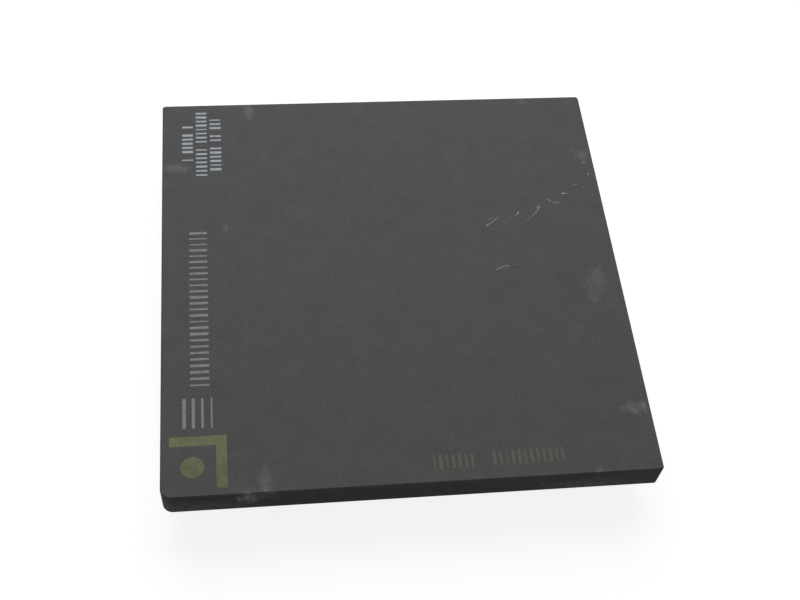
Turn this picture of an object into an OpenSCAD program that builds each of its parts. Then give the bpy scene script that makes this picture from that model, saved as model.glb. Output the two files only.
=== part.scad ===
// Microprocessor in a square ceramic pin grid package, with its chip in a sealed cavity below.
// Millimetres. The origin is under the middle of the package, at the level of the pin tips, +Z up.

/* [Ceramic body] */
// Thickness of the ceramic between its two faces
body_t = 3.2; // [2.6:0.1:5]
// Ceramic outside the centres of the outermost pins
edge_margin = 2.03; // [1.4:0.01:3]
// Radius of three of the upright corners
corner_r = 0.35; // [0.2:0.05:0.8]
// Larger radius of the upright corner at the index mark
index_corner_r = 1; // [0.5:0.05:1.6]
// Bevel that breaks the edges of both faces
edge_break = 0.12; // [0.05:0.01:0.18]

/* [Pin grid] */
// Distance between neighbouring pins
pitch = 2.54; // [2:0.01:3]
// Rings of pins round the open middle
ring_n = 3; // [2:1:4]
// Diameter of a pin
pin_d = 0.457; // [0.35:0.001:0.6]
// Length of a pin from the ceramic to its tip
pin_len = 4; // [3:0.05:6]
// Bevel round a pin's tip
tip_bevel = 0.1; // [0.05:0.01:0.15]
// Diameter of a pin's nail head
head_d = 0.86; // [0.7:0.01:1]
// Thickness of a pin's nail head
head_t = 0.2; // [0.1:0.01:0.3]
// Distance from the ceramic to the level where the collars seat on a board
standoff = 1.27; // [0.9:0.01:1.8]
// Diameter of the collar on the four standoff pins
collar_d = 1.3; // [1:0.01:1.5]
// Thickness of the collar
collar_t = 0.35; // [0.2:0.01:0.5]

/* [Braze joints] */
// Diameter of the metal pad that a pin is brazed to
pad_d = 1.5; // [1.25:0.01:1.7]
// Thickness of the pad
pad_t = 0.03; // [0.02:0.01:0.08]
// Width of the braze fillet round a nail head
fillet_w = 0.16; // [0.08:0.01:0.19]
// Height of the braze fillet up the side of a nail head
fillet_h = 0.14; // [0.05:0.01:0.19]

/* [Index mark] */
// Distance from the body's edges to the outer corner of the bracket
mark_corner = 6.13; // [4:0.01:8]
// Distance from the body's edges to the ends of the bracket's arms
mark_end = 0.81; // [0.6:0.01:2]
// Width of the bracket's arms
mark_w = 0.98; // [0.5:0.01:1.2]
// Distance from the body's edges to the middle of the dot
dot_offset = 2.95; // [2.2:0.01:3.4]
// Diameter of the dot
dot_d = 2.15; // [1:0.05:2.6]
// Depth of the metal in the ceramic
mark_t = 0.03; // [0.02:0.01:0.1]

/* [Chip] */
// Width of the silicon chip along X
die_w = 10.8; // [8:0.1:12]
// Length of the silicon chip along Y
die_l = 11.7; // [8:0.1:12.5]
// Thickness of the chip
die_t = 0.5; // [0.3:0.01:0.6]
// Thickness of the gold solder that holds the chip
attach_t = 0.05; // [0.03:0.01:0.1]

/* [Cavity] */
// Gap between the chip and the wall of its well
well_gap = 0.8; // [0.5:0.05:1.2]
// Width of each bond shelf
shelf_w = 1.25; // [1:0.05:1.6]
// Depth of the outer shelf below the sealing face
outer_step = 0.55; // [0.45:0.01:0.8]
// Depth of the inner shelf below the outer one
inner_step = 0.45; // [0.3:0.01:0.6]
// Depth of the chip's well below the inner shelf
well_depth = 0.6; // [0.55:0.01:0.7]
// Radius of the cavity's upright corners
cavity_r = 0.4; // [0.2:0.05:0.6]

/* [Bond wires] */
// Wires on each side of the chip
wire_n = 44; // [20:2:56]
// Thickness of a wire
wire_d = 0.04; // [0.03:0.001:0.06]
// Angle between the ends of a wire and the straight line from one end to the other
wire_angle = 48; // [46:1:54]
// Distance from the chip's edge to the middle of its bond pads
pad_inset = 0.15; // [0.1:0.01:0.25]
// Stretch at each end of the chip's sides that has no bond pads
pad_keepout = 0.5; // [0.3:0.05:0.8]
// Stretch of the shelves that stays free at the cavity's corners
corner_gap = 0.9; // [0.7:0.05:1.2]
// Width of a bond finger
finger_w = 0.2; // [0.1:0.01:0.24]
// Bare ceramic at both ends of a bond finger
finger_gap = 0.1; // [0.05:0.01:0.2]
// Distance from a shelf's edge to the place where the wire lands
landing = 0.3; // [0.25:0.01:0.5]
// Thickness of the metal printed on the ceramic inside
metal_t = 0.02; // [0.01:0.01:0.05]

/* [Lid] */
// Width of the metal seal ring round the cavity
seal_w = 1.6; // [1:0.05:2]
// Thickness of the seal ring
seal_t = 0.03; // [0.02:0.01:0.08]
// Distance from the ring's outer edge to the lid's edge
lid_inset = 0.2; // [0.1:0.01:0.4]
// Thickness of the solder between the ring and the lid
solder_t = 0.05; // [0.03:0.01:0.1]
// Thickness of the lid
lid_t = 0.3; // [0.2:0.01:0.4]
// Radius of the lid's corners
lid_r = 0.6; // [0.3:0.05:1]

/* [Hidden] */
$fn = 48;
// Letters of the grid's rows as pin maps give them, from the index corner away: one letter, one row
row_letters = "abcdefghjklmnpqrst";
// Sides of the chip, by quarter turns from the front
sides = ["south", "east", "north", "west"];
// How far a cutting shape passes the surface that it cuts
over = 1;

grid_n = len(row_letters);
body_side = (grid_n - 1) * pitch + 2 * edge_margin;
half = body_side / 2;
z_under = pin_len;
z_top = z_under + body_t;

pin_r = pin_d / 2;
head_r = head_d / 2;
collar_r = collar_d / 2;
z_pad = z_under - pad_t;
z_head = z_pad - head_t;
z_collar = z_under - standoff;

well_size = [die_w, die_l] + 2 * [well_gap, well_gap];
inner_size = well_size + 2 * [shelf_w, shelf_w];
outer_size = inner_size + 2 * [shelf_w, shelf_w];
ring_size = outer_size + 2 * [seal_w, seal_w];
lid_size = ring_size - 2 * [lid_inset, lid_inset];

z_outer = z_under + outer_step;
z_inner = z_outer + inner_step;
z_well = z_inner + well_depth;
z_die = z_well - attach_t - die_t;

// Flat plate with round upright corners, its lower face at z = 0
module plate(size, r, h) {
    linear_extrude(h) {
        square([size.x - 2 * r, size.y], center = true);
        square([size.x, size.y - 2 * r], center = true);
        for (sx = [-1, 1], sy = [-1, 1])
            translate([sx * (size.x / 2 - r), sy * (size.y / 2 - r)]) circle(r);
    }
}

// Flat frame between two round-cornered outlines, its lower face at z = 0
module frame(outer, inner, r_outer, r_inner, h) {
    difference() {
        plate(outer, r_outer, h);
        translate([0, 0, -over]) plate(inner, r_inner, h + 2 * over);
    }
}

// Upright cutter that rounds a corner of the ceramic and carries the bevels round it
module corner_cut(r) {
    translate([-half, -half, 0])
        difference() {
            translate([-over, -over, -over]) cube([r + over, r + over, body_t + 2 * over]);
            translate([r, r, 0])
                rotate_extrude()
                    polygon([
                        [0, -over], [r - edge_break, -over], [r - edge_break, 0], [r, edge_break],
                        [r, body_t - edge_break], [r - edge_break, body_t],
                        [r - edge_break, body_t + over], [0, body_t + over]]);
        }
}

// Bar along Y whose slanting sides bevel the two long edges of each face
module bevel_bar() {
    reach = half - edge_break;
    mid = body_t / 2;
    rotate([90, 0, 0])
        linear_extrude(body_side + 2 * over, center = true)
            polygon([
                [reach - over, -over], [reach + mid, mid], [reach - over, body_t + over],
                [over - reach, body_t + over], [-reach - mid, mid], [over - reach, -over]]);
}

// The bracket and dot that show which corner the pin map starts from
module mark_outline() {
    arm = mark_corner - mark_end;
    translate([-half, -half]) {
        difference() {
            translate([mark_end, mark_end]) square(arm);
            translate([mark_end - over, mark_end - over]) square(arm + over - mark_w);
        }
        translate([dot_offset, dot_offset]) circle(dot_d / 2);
    }
}

// Steps of the cavity, from the sealing face up to the ceiling of the chip's well
module cavity() {
    translate([0, 0, z_under - over]) {
        plate(outer_size, cavity_r, outer_step + over);
        plate(inner_size, cavity_r, z_inner - z_under + over);
        plate(well_size, cavity_r, z_well - z_under + over);
    }
}

module package_body() {
    color("#4d4d4c")
        difference() {
            translate([0, 0, z_under])
                difference() {
                    intersection() {
                        translate([-half, -half, 0]) cube([body_side, body_side, body_t]);
                        bevel_bar();
                        rotate(90) bevel_bar();
                    }
                    for (turn = [0 : 3])
                        rotate(90 * turn) corner_cut(turn == 0 ? index_corner_r : corner_r);
                }
            cavity();
            translate([0, 0, z_top - mark_t]) linear_extrude(mark_t + over) mark_outline();
        }
}

module index_mark() {
    color("#646448")
        translate([0, 0, z_top - mark_t]) linear_extrude(mark_t) mark_outline();
}

// Whether the grid has a pin here: only the outer rings do, and the index corner has none
function has_pin(row, col) =
    min(row, col, grid_n - 1 - row, grid_n - 1 - col) < ring_n && row + col > 0;

// Whether the pin here has a standoff collar: the corners of the second ring do
function has_collar(row, col) =
    (row == 1 || row == grid_n - 2) && (col == 1 || col == grid_n - 2);

function grid_place(row, col) =
    [(col - (grid_n - 1) / 2) * pitch, (row - (grid_n - 1) / 2) * pitch, 0];

// Nail-headed pin, with its tip at z = 0
module pin(collar) {
    tip = [[0, 0], [pin_r - tip_bevel, 0], [pin_r, tip_bevel]];
    stop = [
        [pin_r, z_collar], [collar_r, z_collar],
        [collar_r, z_collar + collar_t], [pin_r, z_collar + collar_t]];
    nail_head = [[pin_r, z_head], [head_r, z_head], [head_r, z_pad], [0, z_pad]];
    rotate_extrude() polygon(concat(tip, collar ? stop : [], nail_head));
}

module pin_row(row) {
    color("#c8a552")
        for (col = [0 : grid_n - 1])
            if (has_pin(row, col))
                translate(grid_place(row, col)) pin(has_collar(row, col));
}

// Pad on the ceramic with the braze that climbs the side of a nail head
module braze_joint() {
    rotate_extrude()
        polygon([
            [0, z_under], [pad_d / 2, z_under], [pad_d / 2, z_pad],
            [head_r + fillet_w, z_pad], [head_r, z_pad - fillet_h], [head_r, z_pad], [0, z_pad]]);
}

module braze_joints() {
    color("#b9a066")
        for (row = [0 : grid_n - 1], col = [0 : grid_n - 1])
            if (has_pin(row, col))
                translate(grid_place(row, col)) braze_joint();
}

module die() {
    color("#5c6470")
        translate([-die_w / 2, -die_l / 2, z_die]) cube([die_w, die_l, die_t]);
}

module die_attach() {
    color("#b89a4a")
        translate([-die_w / 2, -die_l / 2, z_die + die_t]) cube([die_w, die_l, attach_t]);
}

// A side of the chip: how long it is, and how far out from the middle
function side_length(side) = side % 2 == 0 ? die_w : die_l;
function side_out(side) = (side % 2 == 0 ? die_l : die_w) / 2;

// Wires go in turn to the inner and the outer shelf. How far a shelf's edge is from the chip
function shelf_start(wire) = well_gap + (wire % 2) * shelf_w;
function finger_z(wire) = (wire % 2 == 0 ? z_inner : z_outer) - metal_t;

// Place of a wire's bond pad along the side, and of its finger, which fans out to the shelf's length
function pad_along(side, wire) =
    (wire - (wire_n - 1) / 2) * (side_length(side) - 2 * pad_keepout) / (wire_n - 1);
function finger_along(side, wire) =
    pad_along(side, wire) * (side_length(side) / 2 + shelf_start(wire) + landing - corner_gap)
    / (side_length(side) / 2 - pad_keepout);

module bond_fingers() {
    color("#caa74e")
        for (side = [0 : len(sides) - 1], wire = [0 : wire_n - 1])
            rotate(90 * side)
                translate([
                    finger_along(side, wire) - finger_w / 2,
                    -side_out(side) - shelf_start(wire) - shelf_w + finger_gap,
                    finger_z(wire)])
                    cube([finger_w, shelf_w - 2 * finger_gap, metal_t]);
}

// Wire that loops down from the origin and lands at the distance span, lower by drop
module bond_wire(span, drop) {
    chord = norm([span, drop]);
    loop_r = chord / 2 / sin(wire_angle);
    rise = loop_r * cos(wire_angle) / chord;
    rotate([90, 0, 0])
        linear_extrude(wire_d, center = true)
            difference() {
                translate([span / 2 + drop * rise, span * rise - drop / 2])
                    difference() {
                        circle(loop_r + wire_d / 2);
                        circle(loop_r - wire_d / 2);
                    }
                polygon([
                    [-2 * chord, 0], [span / 2, 0], [span / 2, -drop],
                    [2 * chord, -drop], [2 * chord, 2 * chord], [-2 * chord, 2 * chord]]);
            }
}

module bond_wires(side) {
    color("#d8b75c")
        rotate(90 * side)
            for (wire = [0 : wire_n - 1]) {
                from = [pad_along(side, wire), pad_inset - side_out(side)];
                to = [finger_along(side, wire), -side_out(side) - shelf_start(wire) - landing];
                way = to - from;
                translate([from.x, from.y, z_die])
                    rotate(atan2(way.y, way.x)) bond_wire(norm(way), z_die - finger_z(wire));
            }
}

module seal_ring() {
    color("#c2a04c")
        translate([0, 0, z_under - seal_t])
            frame(ring_size, outer_size, lid_r, cavity_r, seal_t);
}

module lid_solder() {
    color("#cdb878")
        translate([0, 0, z_under - seal_t - solder_t])
            frame(lid_size, outer_size, lid_r, cavity_r, solder_t);
}

module lid() {
    color("#d2b062")
        translate([0, 0, z_under - seal_t - solder_t - lid_t]) plate(lid_size, lid_r, lid_t);
}

package_body();
index_mark();
for (row = [0 : grid_n - 1])
    pin_row(row);
braze_joints();
die();
die_attach();
bond_fingers();
for (side = [0 : len(sides) - 1])
    bond_wires(side);
seal_ring();
lid_solder();
lid();
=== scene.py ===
"""Looks of a microprocessor in a ceramic pin grid package, set on its packed solids."""

import math
import random
from typing import NamedTuple

import bpy
from bpy.props import FloatProperty, FloatVectorProperty, IntProperty, PointerProperty
from mathutils import Color, Matrix, Vector


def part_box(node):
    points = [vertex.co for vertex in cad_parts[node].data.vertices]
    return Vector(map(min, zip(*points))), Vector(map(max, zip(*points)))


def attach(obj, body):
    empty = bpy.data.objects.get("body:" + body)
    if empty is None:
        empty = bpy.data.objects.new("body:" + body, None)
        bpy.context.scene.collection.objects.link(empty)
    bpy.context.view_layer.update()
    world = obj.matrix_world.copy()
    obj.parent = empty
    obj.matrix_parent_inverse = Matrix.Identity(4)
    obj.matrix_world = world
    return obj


bl_info = {
    "name": "Ceramic Pin Grid Processor",
    "version": (1, 0, 0),
    "blender": (4, 5, 0),
    "location": "3D View > Sidebar > Processor",
    "description": "Finishes, print, wear and stage of a microprocessor in a ceramic pin grid package",
    "category": "Object",
}

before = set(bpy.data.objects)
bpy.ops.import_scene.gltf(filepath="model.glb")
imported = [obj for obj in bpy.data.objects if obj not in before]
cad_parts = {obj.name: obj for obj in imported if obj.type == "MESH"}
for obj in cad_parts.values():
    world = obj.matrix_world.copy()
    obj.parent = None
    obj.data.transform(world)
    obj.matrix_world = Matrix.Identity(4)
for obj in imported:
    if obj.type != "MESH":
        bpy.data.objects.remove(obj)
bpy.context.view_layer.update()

MM = 0.001
BODY = "root"

CERAMIC_LOW, CERAMIC_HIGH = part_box("package_body")
TOP_Z = CERAMIC_HIGH.z
# Height of the top face and place of the front side, in millimetres
TOP_MM = TOP_Z / MM
FRONT_MM = CERAMIC_LOW.y / MM

# Sockets of a colour Mix node, whose names repeat for each data type
MIX_FACTOR, MIX_A, MIX_B, MIX_RESULT = 0, 6, 7, 2
# Outputs of a Random Value node for its data types
RANDOM_VECTOR, RANDOM_BOOLEAN = 0, 3

# Ranges of a noise, from its common values to nearly all of them, and its middle
NOISE_CORE = (0.35, 0.65)
NOISE_MOST = (0.3, 0.7)
NOISE_FULL = (0.25, 0.75)
NOISE_MIDDLE = (0.5, 0.5, 0.5)


def display(red, green, blue):
    """Linear colour of three display values from 0 to 255."""
    return tuple(Color((red / 255, green / 255, blue / 255)).from_srgb_to_scene_linear())


def colour_setting(name, description, red, green, blue):
    """Colour property whose default is given in display values."""
    return FloatVectorProperty(
        name=name, description=description, subtype="COLOR", min=0, max=1,
        default=display(red, green, blue))


class CeramicSettings(bpy.types.PropertyGroup):
    """Finish of the fired ceramic."""

    face: colour_setting("Faces", "Colour of the two large faces", 84, 85, 84)
    # The sides' colour is painted shade: darker than the faces because less light falls on them
    side: colour_setting("Sides", "Colour of the four narrow sides", 61, 61, 63)
    # Also the colour of the painted bounce light on the lower ends of the front side
    smudge_and_bounce: colour_setting("Smudges", "Colour of the rubbed and dusty patches", 158, 161, 163)
    roughness: FloatProperty(
        name="Roughness", description="Middle roughness of the ceramic", subtype="FACTOR",
        min=0, max=1, default=0.62)
    gloss: FloatProperty(
        name="Gloss", description="Specular level of the ceramic", subtype="FACTOR", min=0, max=1,
        default=0.05)
    grain: FloatProperty(
        name="Grain", description="Size of the finest grain in the ceramic", unit="LENGTH",
        default=0.2 * MM)
    mottle: FloatProperty(
        name="Mottle", description="Size of the coarsest mottles in the ceramic", unit="LENGTH",
        default=2.4 * MM)


class MetalSettings(bpy.types.PropertyGroup):
    """Finish of the plated and soldered metal."""

    gold: colour_setting("Gold plate", "Plating on pins, lid and bond fingers", 226, 190, 120)
    braze: colour_setting("Braze", "Plated braze at the heads of the pins", 214, 184, 126)
    solder: colour_setting("Solder", "Gold alloy solder under chip and lid", 206, 184, 140)
    index: colour_setting("Index mark", "Dull gold of the index mark", 87, 89, 64)
    roughness: FloatProperty(
        name="Roughness", description="Middle roughness of the gold plate", subtype="FACTOR",
        min=0, max=1, default=0.3)


class ChipSettings(bpy.types.PropertyGroup):
    """Finish of the silicon chip."""

    silicon: colour_setting("Silicon", "Colour of the bare parts of the chip", 92, 100, 112)
    circuit: colour_setting("Circuit", "Colour of the dense blocks of circuit", 142, 124, 132)
    block: FloatProperty(
        name="Block", description="Width of a block of circuit", unit="LENGTH", default=2.4 * MM)


class PrintSettings(bpy.types.PropertyGroup):
    """Printed bars on the top face."""

    code: colour_setting("Code ink", "Grey ink of the long row", 132, 131, 134)
    lot: colour_setting("Lot ink", "Pale ink of the three small rows", 167, 174, 182)
    stamp: colour_setting("Stamp", "Faint gold of the rows at the front edge", 87, 87, 75)
    stroke: FloatProperty(
        name="Stroke", description="Plain width of a printed bar", unit="LENGTH", default=0.2 * MM)
    film: FloatProperty(
        name="Film", description="Thickness of the print", unit="LENGTH", default=0.006 * MM)
    narrowest: FloatProperty(
        name="Narrowest", description="Width of the narrowest bar, in strokes", min=0, default=0.7)
    widest: FloatProperty(
        name="Widest", description="Width of the widest bar, in strokes", min=0, default=1.7)
    missing: FloatProperty(
        name="Missing", description="Share of the bars that is missing", subtype="FACTOR",
        min=0, max=1, default=0.12)


class WearSettings(bpy.types.PropertyGroup):
    """Scratches and specks on the top face."""

    scratch: colour_setting("Scratches", "Colour of the bruised ceramic in a scratch", 151, 152, 149)
    speck: colour_setting("Specks", "Colour of the specks of dirt", 150, 152, 140)
    dust: IntProperty(
        name="Dust", description="Number of the faintest specks, scattered on the top face", min=0,
        default=10)
    dust_width: FloatProperty(
        name="Dust width", description="Width of the faintest specks", unit="LENGTH", default=0.075 * MM)


class StageSettings(bpy.types.PropertyGroup):
    """Floor, light and camera."""

    floor: colour_setting("Floor", "Colour of the floor in the light that it throws back", 190, 190, 190)
    key_power: FloatProperty(
        name="Key power", description="Power of the large soft lamp", unit="POWER", default=0.85)
    key_size: FloatProperty(
        name="Key size", description="Side of the large soft lamp", unit="LENGTH", default=0.3)
    key_place: FloatVectorProperty(
        name="Key place", description="Place of the large soft lamp", subtype="TRANSLATION",
        default=(0, 0.17, 0.23))
    fill: FloatProperty(
        name="Fill", description="Strength of the even light from all round", subtype="FACTOR",
        min=0, max=1, default=0.12)
    azimuth: FloatProperty(
        name="Azimuth", description="Direction of the camera round the part", subtype="ANGLE",
        default=math.radians(-12.132))
    elevation: FloatProperty(
        name="Elevation", description="Height of the camera over the horizon", subtype="ANGLE",
        default=math.radians(56.671))
    roll: FloatProperty(
        name="Roll", description="Turn of the camera about its own axis", subtype="ANGLE",
        default=math.radians(7.76))
    distance: FloatProperty(
        name="Distance", description="Distance from the camera to its aim", unit="LENGTH",
        default=124.792 * MM)
    aim: FloatVectorProperty(
        name="Aim", description="Point of the top face in the middle of the picture",
        subtype="TRANSLATION", default=(0.298 * MM, -3.305 * MM, TOP_Z))
    lens: FloatProperty(
        name="Lens", description="Focal length on a sensor 36 mm wide", unit="CAMERA", default=55.29)


class GoldFinish(NamedTuple):
    """Kind of gold: name, colour setting, roughness over the plate's, and grains a millimetre."""

    name: str
    colour: str
    rougher: float
    grain: tuple


PIN_GOLD = GoldFinish("pin_gold", "gold", 0, (9, 9, 0.8))
BRAZE_GOLD = GoldFinish("braze_gold", "braze", 0.1, (4, 4, 4))
LID_GOLD = GoldFinish("lid_gold", "gold", 0.04, (0.6, 7, 7))
SEAL_GOLD = GoldFinish("seal_gold", "gold", 0.1, (6, 6, 6))
LID_SOLDER = GoldFinish("lid_solder", "solder", 0.06, (3, 3, 3))
DIE_SOLDER = GoldFinish("die_solder", "solder", 0.1, (4, 4, 4))
FINGER_GOLD = GoldFinish("finger_gold", "gold", 0.12, (8, 8, 8))
WIRE_GOLD = GoldFinish("wire_gold", "gold", -0.1, (12, 12, 12))

# Specular level of the index mark, the print and the dirt
MATT_GLOSS = 0.2
# Places along Y between which the ceramic's faces take on a painted cast of light, in millimetres, and
# that painted tint behind, pinker and a little lighter
BACK_PLACE = (2, 26)
BACK_LIGHT_CAST = (1.039, 0.995, 1.034)
# Distance from the front edge over which the index mark is darker, in millimetres, and how dark it gets
MARK_FADE = 5.7
MARK_DARKEST = 0.78


class BarRow(NamedTuple):
    """Row of printed bars: ink, where it starts, and how long, tall and close it is, in millimetres."""

    name: str
    ink: str
    corner: tuple
    length: float
    height: float
    pitch: float
    reads_up: bool


BAR_ROWS = (
    BarRow("code_bars", "code", (-20.82, -12.14), 18.0, 1.84, 0.72, True),
    BarRow("block_bars", "code", (-21.5, -16.65), 3.1, 3.2, 0.86, False),
    BarRow("lot_bars_left", "lot", (-21.48, 15.65), 5.1, 1.15, 0.58, True),
    BarRow("lot_bars_middle", "lot", (-20.02, 13.56), 9.1, 1.19, 0.58, True),
    BarRow("lot_bars_right", "lot", (-18.5, 14.3), 7.4, 1.2, 0.58, True),
    BarRow("stamp_bars_short", "stamp", (1.68, -22.3), 3.7, 1.5, 0.6, False),
    BarRow("stamp_bars_long", "stamp", (7.4, -22.2), 7.9, 1.5, 0.6, False),
)
# How far each ink is rubbed off where it is worn most
INK_WEAR = {"code": 0.5, "lot": 0.35, "stamp": 0.9}
# Points in each rounded corner of a bar, and the distance within which its points are one
CORNER_POINTS = 3
BAR_WELD = 0.0002 * MM

# Scratches on the top face: each point is its place and the scratch's width there, in millimetres
SCRATCHES = (
    ((10.42, 5.61, 0.1), (10.56, 5.7, 0.13), (11.34, 6.23, 0.09), (11.97, 6.75, 0.04)),
    ((10.75, 6.48, 0.03), (11.05, 6.6, 0.05), (11.4, 6.68, 0.03)),
    ((12.58, 5.95, 0.03), (13.19, 6.35, 0.02), (13.79, 6.89, 0.03), (14.1, 7.12, 0.18),
     (14.16, 7.34, 0.04), (14.2, 7.5, 0.01)),
    ((14.8, 6.15, 0.03), (15.48, 6.63, 0.06), (16.03, 7.14, 0.08), (16.38, 7.56, 0.12),
     (16.45, 7.82, 0.42), (16.5, 8.02, 0.09)),
    ((17.6, 8.86, 0.1), (17.75, 8.75, 0.18), (18.06, 8.48, 0.04), (18.45, 8.39, 0.12),
     (18.88, 8.36, 0.07)),
    ((19.27, 9.58, 0.26), (19.44, 9.58, 0.3), (19.62, 9.57, 0.17), (19.95, 9.54, 0.11)),
    ((20.8, 10.8, 0.08), (21.0, 10.78, 0.05), (21.35, 10.72, 0.02)),
    ((10.6, -0.08, 0.05), (11.27, 0.19, 0.1), (11.78, 0.41, 0.1), (12.12, 0.3, 0.05)),
    ((12.75, 0.45, 0.03), (13.2, 0.48, 0.03)),
)
# Distance between the sections of a scratch, their sides, and their height for their width
SCRATCH_SPACING = 0.08 * MM
SCRATCH_SIDES = 8
SCRATCH_FLATNESS = 0.12

# Specks on the top face: place and width, in millimetres
SPECKS = (
    (22.78, 12.14, 0.28), (22.62, 13.9, 0.16), (22.4, 13.86, 0.1), (-22.1, 9.3, 0.1),
    (-22.0, -18.31, 0.17), (-21.22, -18.0, 0.15), (14.1, -7.5, 0.13), (19.98, -8.9, 0.11),
    (5.88, -16.95, 0.08), (17.35, -23.3, 0.14), (-14.1, -23.35, 0.12),
)
# Least and greatest length and breadth of a speck, and its height, for its width
SPECK_LEAST = (0.7, 0.6)
SPECK_GREATEST = (1.4, 1.0)
SPECK_FLATNESS = 0.15
# How finely a speck is divided, and the seed of its length, breadth and turn
SPECK_STEPS = 2
SPECK_SEED = 3
# Radius of a scratch's section and of a speck before they get their width
UNIT_RADIUS = 0.5
# How far from the middle the faintest specks are scattered, in millimetres, and their seed
DUST_REACH = 22
DUST_SEED = 21


class SmudgeOrBounceLight(NamedTuple):
    """Soft patch on the ceramic, smudge and painted bounce light alike: middle and half widths in
    millimetres, turn, and how much it shows.
    """

    middle: tuple
    reach: tuple
    turn: float
    strength: float


SMUDGES_AND_BOUNCE_LIGHT = (
    SmudgeOrBounceLight((-22.05, 14.68, TOP_MM), (1.9, 0.8, 0.5), 0, 0.24),
    SmudgeOrBounceLight((-14.25, 22.5, TOP_MM), (0.75, 1.9, 0.5), 0, 0.19),
    SmudgeOrBounceLight((-17.0, 6.7, TOP_MM), (0.45, 0.8, 0.5), 0, 0.17),
    SmudgeOrBounceLight((-12.6, 15.75, TOP_MM), (0.5, 0.4, 0.5), 0, 0.09),
    SmudgeOrBounceLight((22.5, 14.85, TOP_MM), (1.1, 0.95, 0.5), 0, 0.2),
    SmudgeOrBounceLight((22.5, 13.87, TOP_MM), (0.4, 0.25, 0.5), 0, 0.3),
    SmudgeOrBounceLight((17.0, 23.0, TOP_MM), (0.5, 0.7, 0.5), 0, 0.15),
    SmudgeOrBounceLight((21.6, 15.7, TOP_MM), (0.4, 0.4, 0.5), 0, 0.12),
    SmudgeOrBounceLight((20.95, -2.2, TOP_MM), (1.2, 3.0, 0.5), -0.25, 0.13),
    SmudgeOrBounceLight((21.35, -1.2, TOP_MM), (0.8, 1.4, 0.5), -0.25, 0.17),
    SmudgeOrBounceLight((20.5, -4.0, TOP_MM), (0.7, 1.1, 0.5), -0.25, 0.13),
    SmudgeOrBounceLight((22.05, -16.9, TOP_MM), (1.6, 0.95, 0.5), 0, 0.26),
    SmudgeOrBounceLight((23.0, -16.85, TOP_MM), (0.5, 0.95, 0.5), 0, 0.3),
    SmudgeOrBounceLight((-14.1, -22.6, TOP_MM), (0.95, 2.1, 0.5), 0, 0.17),
    SmudgeOrBounceLight((-14.1, -23.2, TOP_MM), (0.55, 0.8, 0.5), 0, 0.28),
    SmudgeOrBounceLight((-15.6, -23.3, TOP_MM), (1.0, 0.6, 0.6), 0, 0.16),
    SmudgeOrBounceLight((-15.65, FRONT_MM, TOP_MM - 0.9), (1.2, 0.4, 1.6), 0, 0.8),
    SmudgeOrBounceLight((-15.25, FRONT_MM, TOP_MM - 1.2), (0.5, 0.4, 0.8), 0, 1),
    SmudgeOrBounceLight((-16.5, FRONT_MM, TOP_MM - 0.95), (0.32, 0.4, 0.75), 0, 1),
    SmudgeOrBounceLight((-13.0, FRONT_MM, TOP_MM - 1.2), (0.5, 0.4, 0.9), 0, 0.14),
    SmudgeOrBounceLight((-14.2, FRONT_MM, TOP_MM - 0.6), (1.3, 0.4, 1.2), 0, 0.26),
    # The next two are painted bounce light from the floor: the lower ends of the front side painted
    # lighter
    SmudgeOrBounceLight((-22.5, FRONT_MM, TOP_MM - 2.6), (11.0, 0.4, 2.4), 0, 0.3),
    SmudgeOrBounceLight((16.5, FRONT_MM, TOP_MM - 2.6), (6.5, 0.4, 2.2), 0, 0.28),
    SmudgeOrBounceLight((17.35, -23.4, TOP_MM), (0.6, 0.5, 0.5), 0, 0.15),
)
# How far a patch's outline strays, and where in it the patch fades, in half widths
SMUDGE_AND_BOUNCE_STRAY = (1.2, 1.2, 1.2)
SMUDGE_AND_BOUNCE_FADE = (0.2, 1)

# Half the side of the floor in metres, and its grey in shadow
FLOOR_REACH = 1.5
FLOOR_GREY = 0.25
# Distances from the part between which the floor brightens, in metres, and its brightness at them
GLOW_PLACE = (0.1, 0.3)
GLOW_LEVEL = (0.86, 1)
# Width of the camera's sensor in millimetres, and how far it sees in metres
SENSOR_WIDTH = 36
FARTHEST = 10


def set_inputs(tree, node, inputs):
    """Links a node's inputs to sockets, or sets them to values."""
    for key, value in inputs.items():
        if isinstance(value, bpy.types.NodeSocket):
            tree.links.new(value, node.inputs[key])
        else:
            node.inputs[key].default_value = value


def add_node(tree, kind, inputs=None, **settings):
    """New node with its settings and its inputs."""
    made = tree.nodes.new(kind)
    for name, value in settings.items():
        setattr(made, name, value)
    set_inputs(tree, made, inputs or {})
    return made


def empty_tree(owner):
    """Node tree of a material or a world, with nothing in it yet."""
    owner.use_nodes = True
    owner.node_tree.nodes.clear()
    return owner.node_tree


def start_material(name):
    """New material with its tree, its shader and the surface's place in millimetres."""
    material = bpy.data.materials.new(name)
    tree = empty_tree(material)
    shader = add_node(tree, "ShaderNodeBsdfPrincipled")
    add_node(tree, "ShaderNodeOutputMaterial", {"Surface": shader.outputs["BSDF"]})
    metres = add_node(tree, "ShaderNodeTexCoord").outputs["Object"]
    return material, tree, shader, stretch(tree, metres, (1 / MM, 1 / MM, 1 / MM))


def stretch(tree, place, scale):
    """Place with each axis multiplied by its own factor."""
    return add_node(tree, "ShaderNodeMapping", {"Vector": place, "Scale": scale}).outputs["Vector"]


def noise(tree, place, scale, detail, roughness=0.5):
    """Noise of so many features a millimetre."""
    made = add_node(
        tree, "ShaderNodeTexNoise",
        {"Vector": place, "Scale": scale, "Detail": detail, "Roughness": roughness})
    return made.outputs["Fac"]


def remap(tree, value, source, target=(0, 1)):
    """Value taken smoothly from its range to another, and held at the ends."""
    made = add_node(
        tree, "ShaderNodeMapRange",
        {"Value": value, "From Min": source[0], "From Max": source[1],
         "To Min": target[0], "To Max": target[1]},
        interpolation_type="SMOOTHSTEP")
    return made.outputs["Result"]


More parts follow.
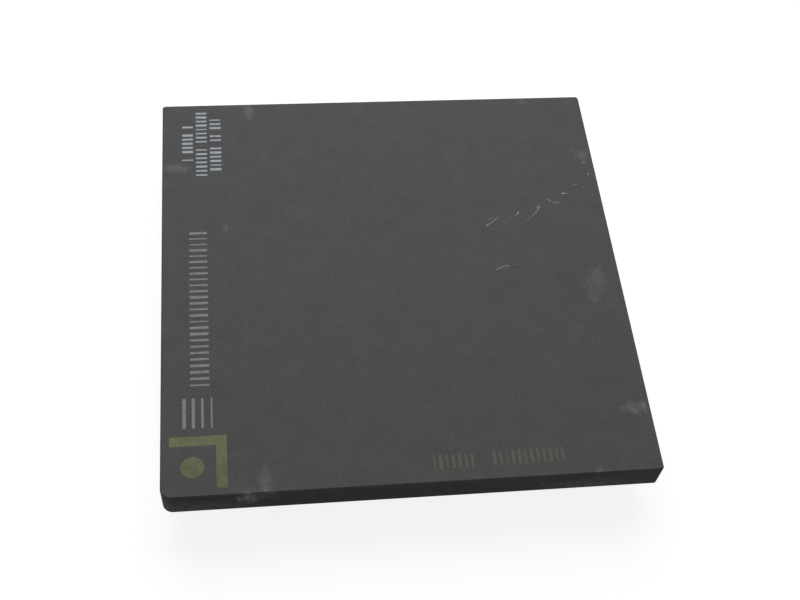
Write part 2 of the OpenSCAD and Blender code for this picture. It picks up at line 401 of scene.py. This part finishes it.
def about(middle, spread):
    """Range that reaches equally far to both sides of its middle."""
    return (middle - spread, middle + spread)


def combine(tree, operation, first, second):
    """Result of a Math node on two values."""
    return add_node(tree, "ShaderNodeMath", {0: first, 1: second}, operation=operation).outputs["Value"]


def mix(tree, factor, first, second, blend="MIX"):
    """Mix of two colours, each a socket or three channels."""
    colours = [c if isinstance(c, bpy.types.NodeSocket) else (*c, 1) for c in (first, second)]
    made = add_node(
        tree, "ShaderNodeMix", {MIX_FACTOR: factor, MIX_A: colours[0], MIX_B: colours[1]},
        data_type="RGBA", blend_type=blend)
    return made.outputs[MIX_RESULT]


def grey(level):
    """Opaque grey."""
    return (level, level, level, 1)


def tint(colour, shares):
    """Colour with each channel multiplied by its own share."""
    return tuple(min(1, channel * share) for channel, share in zip(colour, shares))


def shade(colour, factor):
    """Colour made lighter or darker."""
    return tint(colour, (factor, factor, factor))


def add_bump(tree, shader, height, depth, strength):
    """Relief of that depth in metres on a shader."""
    made = add_node(tree, "ShaderNodeBump", {"Height": height, "Distance": depth, "Strength": strength})
    set_inputs(tree, shader, {"Normal": made.outputs["Normal"]})


def drift(tree, place):
    """Small random vector at each place, which makes an outline that it is added to uneven."""
    made = add_node(tree, "ShaderNodeTexNoise", {"Vector": place, "Scale": 1.5, "Detail": 3})
    either_way = add_node(
        tree, "ShaderNodeVectorMath", {0: made.outputs["Color"], 1: NOISE_MIDDLE}, operation="SUBTRACT")
    return either_way.outputs["Vector"]


def smudge_and_bounce_mask(tree, place):
    """How much of the smudges and of the painted bounce light lies on each point of the ceramic."""
    blotches = remap(tree, noise(tree, place, scale=1.6, detail=4), source=(0.3, 0.65), target=(0.45, 1))
    astray = drift(tree, place)
    total = None
    for smudge_and_bounce in SMUDGES_AND_BOUNCE_LIGHT:
        inside = add_node(
            tree, "ShaderNodeMapping",
            {"Vector": place, "Location": smudge_and_bounce.middle, "Rotation": (0, 0, smudge_and_bounce.turn),
             "Scale": smudge_and_bounce.reach},
            vector_type="TEXTURE")
        uneven = add_node(
            tree, "ShaderNodeVectorMath", {0: astray, 1: SMUDGE_AND_BOUNCE_STRAY, 2: inside.outputs["Vector"]},
            operation="MULTIPLY_ADD")
        away = add_node(tree, "ShaderNodeVectorMath", {0: uneven.outputs["Vector"]}, operation="LENGTH")
        patch = remap(tree, away.outputs["Value"], SMUDGE_AND_BOUNCE_FADE, (smudge_and_bounce.strength, 0))
        total = patch if total is None else combine(tree, "MAXIMUM", total, patch)
    return combine(tree, "MULTIPLY", total, blotches)


def ceramic_material(settings):
    """Matt dark fired ceramic: mottled faces painted pinker and a little lighter towards the back as a
    cast of the light, sides painted darker as shade and uneven, fine grain, rubbed patches, and painted
    bounce light on the lower ends of the front side.
    """
    material, tree, shader, place = start_material("fired_ceramic")
    clouds = noise(tree, place, scale=0.11, detail=5)
    tints = noise(tree, place, scale=0.3, detail=3)
    mottles = noise(tree, place, scale=MM / settings.mottle, detail=5, roughness=0.8)
    grain = noise(tree, place, scale=MM / settings.grain, detail=3)
    green_grey = tint(settings.face, (0.985, 1.025, 0.995))
    blue_grey = tint(settings.face, (1.02, 1.01, 1.05))
    mottled = mix(tree, remap(tree, tints, NOISE_CORE), green_grey, blue_grey)
    # Faces painted pinker and a little lighter towards the back, a painted cast of the light from behind
    along = add_node(tree, "ShaderNodeSeparateXYZ", {"Vector": place}).outputs["Y"]
    faces = mix(tree, remap(tree, along, BACK_PLACE), mottled, BACK_LIGHT_CAST, "MULTIPLY")
    # Sides painted darker than the faces as shade, with uneven tone in the fired sides
    dark_shaded_side = shade(settings.side, 0.88)
    pale_shaded_side = shade(settings.side, 1.2)
    sides = mix(tree, remap(tree, clouds, NOISE_CORE), dark_shaded_side, pale_shaded_side)
    # Faces and bevels that point up or down get the face colour, and the narrow sides get the painted
    # shade
    normal = add_node(tree, "ShaderNodeTexCoord").outputs["Normal"]
    upright = add_node(tree, "ShaderNodeSeparateXYZ", {"Vector": normal}).outputs["Z"]
    flat = remap(tree, combine(tree, "ABSOLUTE", upright, 0), source=(0.3, 0.8))
    depth = combine(
        tree, "MULTIPLY",
        remap(tree, mottles, NOISE_FULL, about(1, 0.08)),
        remap(tree, grain, NOISE_FULL, about(1, 0.12)))
    clean = mix(tree, 1, mix(tree, flat, sides, faces), depth, "MULTIPLY")
    # Smudges, and painted bounce light on the front side's lower ends, over the clean colour
    set_inputs(tree, shader, {
        "Base Color": mix(tree, smudge_and_bounce_mask(tree, place), clean, settings.smudge_and_bounce),
        "Roughness": remap(tree, clouds, NOISE_MOST, about(settings.roughness, 0.02)),
        "Specular IOR Level": settings.gloss,
    })
    add_bump(tree, shader, grain, depth=0.006 * MM, strength=0.5)
    return material


def gold_material(metal, finish):
    """Gold with faint patina, and grain drawn out along the axis that has the fewest grains."""
    material, tree, shader, place = start_material(finish.name)
    colour = getattr(metal, finish.colour)
    roughness = metal.roughness + finish.rougher
    patina = remap(tree, noise(tree, place, scale=0.45, detail=4), source=(0.35, 0.7))
    dull = tint(colour, (0.86, 0.8, 0.7))
    grain = noise(tree, stretch(tree, place, finish.grain), scale=1, detail=3)
    set_inputs(tree, shader, {
        "Base Color": mix(tree, patina, colour, dull),
        "Roughness": remap(tree, grain, NOISE_MOST, (roughness - 0.07, roughness + 0.1)),
        "Metallic": 1,
    })
    add_bump(tree, shader, grain, depth=0.003 * MM, strength=0.35)
    return material


def index_material(settings):
    """Dull olive gold fired into the ceramic, blotchy, and darker towards the front edge."""
    material, tree, shader, place = start_material("index_gold")
    blotches = remap(tree, noise(tree, place, scale=1.3, detail=4), NOISE_CORE)
    pale = shade(settings.index, 1.12)
    dark = tint(settings.index, (0.84, 0.88, 0.86))
    along = add_node(tree, "ShaderNodeSeparateXYZ", {"Vector": place}).outputs["Y"]
    # Darker towards the front edge, down to MARK_DARKEST at the edge
    darker_to_front = remap(tree, along, (FRONT_MM, FRONT_MM + MARK_FADE), (MARK_DARKEST, 1))
    grain = noise(tree, place, scale=8, detail=3)
    set_inputs(tree, shader, {
        "Base Color": mix(tree, 1, mix(tree, blotches, dark, pale), darker_to_front, "MULTIPLY"),
        "Roughness": remap(tree, grain, NOISE_MOST, (0.45, 0.6)),
        "Metallic": 0.25,
        "Specular IOR Level": MATT_GLOSS,
    })
    add_bump(tree, shader, grain, depth=0.004 * MM, strength=0.5)
    return material


def silicon_material(settings):
    """Polished chip with blocks of circuit and fine rows inside each block."""
    material, tree, shader, place = start_material("silicon")
    width = settings.block / MM
    blocks = add_node(
        tree, "ShaderNodeTexBrick",
        {"Vector": place, "Color1": grey(0.1), "Color2": grey(0.9), "Mortar": grey(0), "Scale": 1,
         "Mortar Size": 0.04, "Brick Width": width, "Row Height": width * 0.7})
    waves = add_node(tree, "ShaderNodeTexWave", {"Vector": place, "Scale": 9, "Distortion": 0.4})
    rows = remap(tree, waves.outputs["Fac"], source=(0, 1), target=(0.6, 1))
    dense = combine(tree, "MULTIPLY", blocks.outputs["Color"], rows)
    set_inputs(tree, shader, {
        "Base Color": mix(tree, dense, settings.silicon, settings.circuit),
        "Roughness": remap(tree, dense, source=(0, 1), target=(0.12, 0.3)),
        "Metallic": 0.6,
    })
    add_bump(tree, shader, dense, depth=0.002 * MM, strength=0.4)
    return material


def ink_material(name, colour, ceramic, wear):
    """Thin print that lets the ceramic through where it is rubbed."""
    material, tree, shader, place = start_material(name)
    rubbed = remap(tree, noise(tree, place, scale=2.6, detail=5), source=(0.5, 0.72), target=(0, wear))
    grain = noise(tree, place, scale=9, detail=2)
    set_inputs(tree, shader, {
        "Base Color": mix(tree, rubbed, colour, ceramic),
        "Roughness": remap(tree, grain, NOISE_MOST, (0.5, 0.66)),
        "Specular IOR Level": MATT_GLOSS,
    })
    add_bump(tree, shader, grain, depth=0.003 * MM, strength=0.4)
    return material


def dirt_material(name, colour):
    """Pale bruised or dusty matter, uneven along its length."""
    material, tree, shader, place = start_material(name)
    uneven = remap(tree, noise(tree, place, scale=2.2, detail=4), NOISE_CORE)
    grain = noise(tree, place, scale=14, detail=2)
    set_inputs(tree, shader, {
        "Base Color": mix(tree, uneven, shade(colour, 0.6), shade(colour, 1.1)),
        "Roughness": remap(tree, grain, NOISE_MOST, (0.6, 0.85)),
        "Specular IOR Level": MATT_GLOSS,
    })
    add_bump(tree, shader, grain, depth=0.004 * MM, strength=0.6)
    return material


def dress(material, *names):
    """Gives solids of the frame their finish."""
    for name in names:
        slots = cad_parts[name].data.materials
        slots.clear()
        slots.append(material)


def nodes_named(start):
    """Names of the frame's solids that start with a word."""
    return sorted(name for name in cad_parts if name.startswith(start))


def start_tree(name, sockets):
    """New geometry tree with named inputs, and the node that gives them."""
    tree = bpy.data.node_groups.new(name, "GeometryNodeTree")
    tree.interface.new_socket("Geometry", in_out="OUTPUT", socket_type="NodeSocketGeometry")
    for label, kind in {"Geometry": "Geometry", **sockets, "Material": "Material"}.items():
        tree.interface.new_socket(label, in_out="INPUT", socket_type="NodeSocket" + kind)
    return tree, tree.nodes.new("NodeGroupInput").outputs


def end_tree(tree, given, geometry):
    """Makes a tree's result real and paints it."""
    real = add_node(tree, "GeometryNodeRealizeInstances", {"Geometry": geometry})
    painted = add_node(
        tree, "GeometryNodeSetMaterial",
        {"Geometry": real.outputs["Geometry"], "Material": given["Material"]})
    add_node(tree, "NodeGroupOutput", {"Geometry": painted.outputs["Geometry"]})
    return tree


def bar_row_tree():
    """Row of thin bars with round corners, of uneven width, with a few of them missing."""
    tree, given = start_tree("Bar row", {
        "Start": "Vector", "Step": "Vector", "Count": "Int", "Bar": "Vector", "Corner": "Float",
        "Narrowest": "Vector", "Widest": "Vector", "Missing": "Float", "Seed": "Int"})
    size = add_node(tree, "ShaderNodeSeparateXYZ", {"Vector": given["Bar"]}).outputs
    outline = add_node(
        tree, "GeometryNodeCurvePrimitiveQuadrilateral", {"Width": size["X"], "Height": size["Y"]})
    rounded = add_node(
        tree, "GeometryNodeFilletCurve",
        {"Curve": outline.outputs["Curve"], "Count": CORNER_POINTS, "Radius": given["Corner"],
         "Limit Radius": True},
        mode="POLY")
    flat = add_node(tree, "GeometryNodeFillCurve", {"Curve": rounded.outputs["Curve"]}, mode="NGONS")
    raised = add_node(
        tree, "GeometryNodeExtrudeMesh", {"Mesh": flat.outputs["Mesh"], "Offset Scale": size["Z"]},
        mode="FACES")
    under = add_node(tree, "GeometryNodeFlipFaces", {"Mesh": flat.outputs["Mesh"]})
    both = add_node(tree, "GeometryNodeJoinGeometry", {"Geometry": raised.outputs["Mesh"]})
    set_inputs(tree, both, {"Geometry": under.outputs["Mesh"]})
    bar = add_node(
        tree, "GeometryNodeMergeByDistance", {"Geometry": both.outputs["Geometry"], "Distance": BAR_WELD})
    line = add_node(
        tree, "GeometryNodeMeshLine",
        {"Count": given["Count"], "Start Location": given["Start"], "Offset": given["Step"]},
        mode="OFFSET")
    lost = add_node(
        tree, "FunctionNodeRandomValue", {"Probability": given["Missing"], "Seed": given["Seed"]},
        data_type="BOOLEAN")
    kept = add_node(
        tree, "GeometryNodeDeleteGeometry",
        {"Geometry": line.outputs["Mesh"], "Selection": lost.outputs[RANDOM_BOOLEAN]},
        domain="POINT")
    widths = add_node(
        tree, "FunctionNodeRandomValue",
        {"Min": given["Narrowest"], "Max": given["Widest"], "Seed": given["Seed"]},
        data_type="FLOAT_VECTOR")
    placed = add_node(
        tree, "GeometryNodeInstanceOnPoints",
        {"Points": kept.outputs["Geometry"], "Instance": bar.outputs["Geometry"],
         "Scale": widths.outputs[RANDOM_VECTOR]})
    return end_tree(tree, given, placed.outputs["Instances"])


def scratch_tree():
    """Flat ridges along the paths of a mesh, as wide as its points say."""
    tree, given = start_tree("Scratch", {"Spacing": "Float", "Flatness": "Float"})
    path = add_node(tree, "GeometryNodeMeshToCurve", {"Mesh": given["Geometry"]})
    curved = add_node(
        tree, "GeometryNodeCurveSplineType", {"Curve": path.outputs["Curve"]}, spline_type="CATMULL_ROM")
    fine = add_node(
        tree, "GeometryNodeResampleCurve", {"Curve": curved.outputs["Curve"], "Length": given["Spacing"]},
        mode="LENGTH")
    width = add_node(tree, "GeometryNodeInputNamedAttribute", {"Name": "width"}, data_type="FLOAT")
    upright = add_node(tree, "GeometryNodeSetCurveNormal", {"Curve": fine.outputs["Curve"]}, mode="Z_UP")
    circle = add_node(
        tree, "GeometryNodeCurvePrimitiveCircle", {"Resolution": SCRATCH_SIDES, "Radius": UNIT_RADIUS},
        mode="RADIUS")
    scale = add_node(tree, "ShaderNodeCombineXYZ", {"X": 1, "Y": given["Flatness"], "Z": 1})
    section = add_node(
        tree, "GeometryNodeTransform",
        {"Geometry": circle.outputs["Curve"], "Scale": scale.outputs["Vector"]})
    ridge = add_node(
        tree, "GeometryNodeCurveToMesh",
        {"Curve": upright.outputs["Curve"], "Profile Curve": section.outputs["Geometry"],
         "Scale": width.outputs["Attribute"], "Fill Caps": True})
    return end_tree(tree, given, ridge.outputs["Mesh"])


def speck_tree():
    """Flat uneven specks on the points of a mesh, as wide as its points say."""
    tree, given = start_tree("Speck", {"Flatness": "Float", "Seed": "Int"})
    grain = add_node(
        tree, "GeometryNodeMeshIcoSphere", {"Radius": UNIT_RADIUS, "Subdivisions": SPECK_STEPS})
    width = add_node(tree, "GeometryNodeInputNamedAttribute", {"Name": "width"}, data_type="FLOAT")
    least, greatest = (
        add_node(tree, "ShaderNodeCombineXYZ", {"X": x, "Y": y, "Z": given["Flatness"]})
        for x, y in (SPECK_LEAST, SPECK_GREATEST))
    form = add_node(
        tree, "FunctionNodeRandomValue",
        {"Min": least.outputs["Vector"], "Max": greatest.outputs["Vector"], "Seed": given["Seed"]},
        data_type="FLOAT_VECTOR")
    size = add_node(
        tree, "ShaderNodeVectorMath",
        {0: form.outputs[RANDOM_VECTOR], "Scale": width.outputs["Attribute"]}, operation="SCALE")
    turn = add_node(
        tree, "FunctionNodeRandomValue",
        {"Min": (0, 0, 0), "Max": (0, 0, math.tau), "Seed": given["Seed"]}, data_type="FLOAT_VECTOR")
    placed = add_node(
        tree, "GeometryNodeInstanceOnPoints",
        {"Points": given["Geometry"], "Instance": grain.outputs["Mesh"], "Scale": size.outputs["Vector"],
         "Rotation": turn.outputs[RANDOM_VECTOR]})
    return end_tree(tree, given, placed.outputs["Instances"])


def add_object(name, data):
    """New object in the scene."""
    made = bpy.data.objects.new(name, data)
    bpy.context.scene.collection.objects.link(made)
    return made


def grow(name, tree, values, spots=(), edges=()):
    """Piece that a geometry tree makes from spots on the top face, as a plain mesh on the body."""
    mesh = bpy.data.meshes.new(name)
    mesh.from_pydata([(x * MM, y * MM, TOP_Z) for x, y, _ in spots], edges, [])
    if spots:
        widths = [width * MM for _, _, width in spots]
        mesh.attributes.new("width", "FLOAT", "POINT").data.foreach_set("value", widths)
    piece = add_object(name, mesh)
    modifier = piece.modifiers.new("Grow", "NODES")
    modifier.node_group = tree
    sockets = {item.name: item.identifier for item in tree.interface.items_tree if item.in_out == "INPUT"}
    for label, value in values.items():
        modifier[sockets[label]] = value
    evaluated = piece.evaluated_get(bpy.context.evaluated_depsgraph_get())
    made = bpy.data.meshes.new_from_object(evaluated)
    piece.modifiers.remove(modifier)
    piece.data = made
    if not made.polygons:
        raise RuntimeError(f"{name} came out empty")
    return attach(piece, BODY)


class PROCESSOR_OT_ceramic(bpy.types.Operator):
    """Finish the ceramic body"""

    bl_idname = "processor.ceramic"
    bl_label = "Ceramic body"

    def execute(self, context):
        dress(ceramic_material(context.scene.processor_ceramic), "package_body")
        return {"FINISHED"}


class PROCESSOR_OT_index_mark(bpy.types.Operator):
    """Finish the gold mark at the index corner"""

    bl_idname = "processor.index_mark"
    bl_label = "Index mark"

    def execute(self, context):
        dress(index_material(context.scene.processor_metal), "index_mark")
        return {"FINISHED"}


class PROCESSOR_OT_pins(bpy.types.Operator):
    """Finish the rows of pins and their braze joints"""

    bl_idname = "processor.pins"
    bl_label = "Pins and braze"

    def execute(self, context):
        metal = context.scene.processor_metal
        dress(gold_material(metal, PIN_GOLD), *nodes_named("pin_row_"))
        dress(gold_material(metal, BRAZE_GOLD), "braze_joints")
        return {"FINISHED"}


class PROCESSOR_OT_lid(bpy.types.Operator):
    """Finish the lid, its solder and the seal ring"""

    bl_idname = "processor.lid"
    bl_label = "Lid and seal"

    def execute(self, context):
        metal = context.scene.processor_metal
        dress(gold_material(metal, LID_GOLD), "lid")
        dress(gold_material(metal, SEAL_GOLD), "seal_ring")
        dress(gold_material(metal, LID_SOLDER), "lid_solder")
        return {"FINISHED"}


class PROCESSOR_OT_chip(bpy.types.Operator):
    """Finish the chip, its solder, the bond fingers and the bond wires"""

    bl_idname = "processor.chip"
    bl_label = "Chip and bonds"

    def execute(self, context):
        metal = context.scene.processor_metal
        dress(silicon_material(context.scene.processor_chip), "die")
        dress(gold_material(metal, DIE_SOLDER), "die_attach")
        dress(gold_material(metal, FINGER_GOLD), "bond_fingers")
        dress(gold_material(metal, WIRE_GOLD), *nodes_named("bond_wires_"))
        return {"FINISHED"}


class PROCESSOR_OT_print(bpy.types.Operator):
    """Print the rows of plain bars on the top face"""

    bl_idname = "processor.print_bars"
    bl_label = "Printed bars"

    def execute(self, context):
        style = context.scene.processor_print
        ceramic = context.scene.processor_ceramic.face
        inks = {
            ink: ink_material(f"{ink}_ink", getattr(style, ink), ceramic, wear)
            for ink, wear in INK_WEAR.items()}
        tree = bar_row_tree()
        upwards = Vector((0, 0, 1))
        for seed, row in enumerate(BAR_ROWS):
            along = Vector((0, 1, 0)) if row.reads_up else Vector((1, 0, 0))
            across = Vector((1, 1, 0)) - along
            bar = along * style.stroke + across * row.height * MM
            start = Vector((*row.corner, 0)) * MM + bar / 2
            piece = grow(row.name, tree, {
                "Start": start + upwards * TOP_Z,
                "Step": along * row.pitch * MM,
                "Count": int(row.length / row.pitch) + 1,
                "Bar": bar + upwards * style.film,
                "Corner": style.stroke / 4,
                "Narrowest": along * style.narrowest + across + upwards,
                "Widest": along * style.widest + across + upwards,
                "Missing": style.missing,
                "Seed": seed,
                "Material": inks[row.ink],
            })
        return {"FINISHED"}


class PROCESSOR_OT_wear(bpy.types.Operator):
    """Add the scratches and specks on the top face"""

    bl_idname = "processor.wear"
    bl_label = "Scratches and specks"

    def execute(self, context):
        wear = context.scene.processor_wear
        points = []
        edges = []
        for path in SCRATCHES:
            edges += [(i, i + 1) for i in range(len(points), len(points) + len(path) - 1)]
            points += path
        bruised = dirt_material("scratched_ceramic", wear.scratch)
        grow(
            "scratches", scratch_tree(),
            {"Spacing": SCRATCH_SPACING, "Flatness": SCRATCH_FLATNESS, "Material": bruised},
            points, edges)
        scatter = random.Random(DUST_SEED)
        specks = list(SPECKS)
        for _ in range(wear.dust):
            x = scatter.uniform(-DUST_REACH, DUST_REACH)
            y = scatter.uniform(-DUST_REACH, DUST_REACH)
            specks.append((x, y, wear.dust_width / MM))
        dirt = dirt_material("speck_dirt", wear.speck)
        grow(
            "specks", speck_tree(),
            {"Flatness": SPECK_FLATNESS, "Seed": SPECK_SEED, "Material": dirt},
            specks)
        return {"FINISHED"}


def seen_directly(tree):
    """1 for rays from the camera, a reflection or a clear body, and 0 for those that light the part."""
    rays = add_node(tree, "ShaderNodeLightPath").outputs
    either = combine(tree, "MAXIMUM", rays["Is Camera Ray"], rays["Is Glossy Ray"])
    return combine(tree, "MAXIMUM", either, rays["Is Transmission Ray"])


def floor_material(settings):
    """Pale floor that shows a soft shadow near the part, white further out, and is clear from below."""
    material = bpy.data.materials.new("floor")
    tree = empty_tree(material)
    pale = add_node(tree, "ShaderNodeBsdfDiffuse", {"Color": (*settings.floor, 1)})
    shadowed = add_node(tree, "ShaderNodeBsdfDiffuse", {"Color": grey(FLOOR_GREY)})
    place = add_node(tree, "ShaderNodeTexCoord").outputs["Object"]
    away = add_node(tree, "ShaderNodeVectorMath", {0: place}, operation="LENGTH").outputs["Value"]
    glow = remap(tree, away, GLOW_PLACE, GLOW_LEVEL)
    white = add_node(tree, "ShaderNodeEmission", {"Color": grey(1), "Strength": glow})
    shown = add_node(
        tree, "ShaderNodeAddShader", {0: shadowed.outputs["BSDF"], 1: white.outputs["Emission"]})
    top = add_node(
        tree, "ShaderNodeMixShader",
        {0: seen_directly(tree), 1: pale.outputs["BSDF"], 2: shown.outputs["Shader"]})
    clear = add_node(tree, "ShaderNodeBsdfTransparent")
    behind = add_node(tree, "ShaderNodeNewGeometry").outputs["Backfacing"]
    both = add_node(
        tree, "ShaderNodeMixShader", {0: behind, 1: top.outputs["Shader"], 2: clear.outputs["BSDF"]})
    add_node(tree, "ShaderNodeOutputMaterial", {"Surface": both.outputs["Shader"]})
    return material


def make_floor(settings):
    """Large floor under the pin tips."""
    mesh = bpy.data.meshes.new("floor")
    low, high = -FLOOR_REACH, FLOOR_REACH
    corners = [(low, low, 0), (high, low, 0), (high, high, 0), (low, high, 0)]
    mesh.from_pydata(corners, [], [(0, 1, 2, 3)])
    mesh.materials.append(floor_material(settings))
    floor = add_object("floor", mesh)


def make_light(settings):
    """Large soft lamp behind and above the part, and even light from all round."""
    lamp = bpy.data.lights.new("key", "AREA")
    lamp.shape = "SQUARE"
    lamp.size = settings.key_size
    lamp.energy = settings.key_power
    place = Vector(settings.key_place)
    aimed = place.to_track_quat("Z", "Y").to_matrix().to_4x4()
    add_object("key", lamp).matrix_world = Matrix.Translation(place) @ aimed
    world = bpy.data.worlds.new("studio")
    tree = empty_tree(world)
    light = add_node(tree, "ShaderNodeBackground", {"Color": grey(1), "Strength": settings.fill})
    white = add_node(tree, "ShaderNodeBackground", {"Color": grey(1), "Strength": 1})
    both = add_node(
        tree, "ShaderNodeMixShader",
        {0: seen_directly(tree), 1: light.outputs["Background"], 2: white.outputs["Background"]})
    add_node(tree, "ShaderNodeOutputWorld", {"Surface": both.outputs["Shader"]})
    bpy.context.scene.world = world


def make_camera(settings):
    """Camera at the photograph's viewing angle."""
    azimuth, elevation = settings.azimuth, settings.elevation
    level = math.cos(elevation)
    back = Vector((math.sin(azimuth) * level, -math.cos(azimuth) * level, math.sin(elevation)))
    right = Vector((math.cos(azimuth), math.sin(azimuth), 0))
    upright = Matrix((right, back.cross(right), back)).transposed().to_4x4()
    data = bpy.data.cameras.new("camera")
    data.sensor_fit = "HORIZONTAL"
    data.sensor_width = SENSOR_WIDTH
    data.lens = settings.lens
    data.clip_start = MM
    data.clip_end = FARTHEST
    camera = add_object("camera", data)
    place = Vector(settings.aim) + back * settings.distance
    camera.matrix_world = Matrix.Translation(place) @ upright @ Matrix.Rotation(settings.roll, 4, "Z")
    bpy.context.scene.camera = camera


class PROCESSOR_OT_stage(bpy.types.Operator):
    """Set up the floor, the light and the camera"""

    bl_idname = "processor.stage"
    bl_label = "Stage"

    def execute(self, context):
        settings = context.scene.processor_stage
        make_floor(settings)
        make_light(settings)
        make_camera(settings)
        context.scene.view_settings.view_transform = "Standard"
        return {"FINISHED"}


SETTINGS = {
    "processor_ceramic": CeramicSettings,
    "processor_metal": MetalSettings,
    "processor_chip": ChipSettings,
    "processor_print": PrintSettings,
    "processor_wear": WearSettings,
    "processor_stage": StageSettings,
}
OPERATORS = (
    PROCESSOR_OT_ceramic,
    PROCESSOR_OT_index_mark,
    PROCESSOR_OT_pins,
    PROCESSOR_OT_lid,
    PROCESSOR_OT_chip,
    PROCESSOR_OT_print,
    PROCESSOR_OT_wear,
    PROCESSOR_OT_stage,
)


class PROCESSOR_PT_sidebar(bpy.types.Panel):
    """Settings and steps of the processor"""

    bl_idname = "PROCESSOR_PT_sidebar"
    bl_label = "Processor"
    bl_space_type = "VIEW_3D"
    bl_region_type = "UI"
    bl_category = "Processor"

    def draw(self, context):
        for name, group in SETTINGS.items():
            box = self.layout.box()
            box.label(text=group.__doc__)
            for setting in group.__annotations__:
                box.prop(getattr(context.scene, name), setting)
        for operator in OPERATORS:
            self.layout.operator(operator.bl_idname)


CLASSES = (*SETTINGS.values(), *OPERATORS, PROCESSOR_PT_sidebar)


def register():
    """Adds the settings, the steps and the panel."""
    for item in CLASSES:
        bpy.utils.register_class(item)
    for name, group in SETTINGS.items():
        setattr(bpy.types.Scene, name, PointerProperty(type=group))


def unregister():
    """Removes what register added."""
    for name in SETTINGS:
        delattr(bpy.types.Scene, name)
    for item in reversed(CLASSES):
        bpy.utils.unregister_class(item)


def main():
    """Dresses the part and sets the stage."""
    register()
    bpy.ops.processor.ceramic()
    bpy.ops.processor.index_mark()
    bpy.ops.processor.pins()
    bpy.ops.processor.lid()
    bpy.ops.processor.chip()
    bpy.ops.processor.print_bars()
    bpy.ops.processor.wear()
    bpy.ops.processor.stage()


if __name__ == "__main__":
    main()
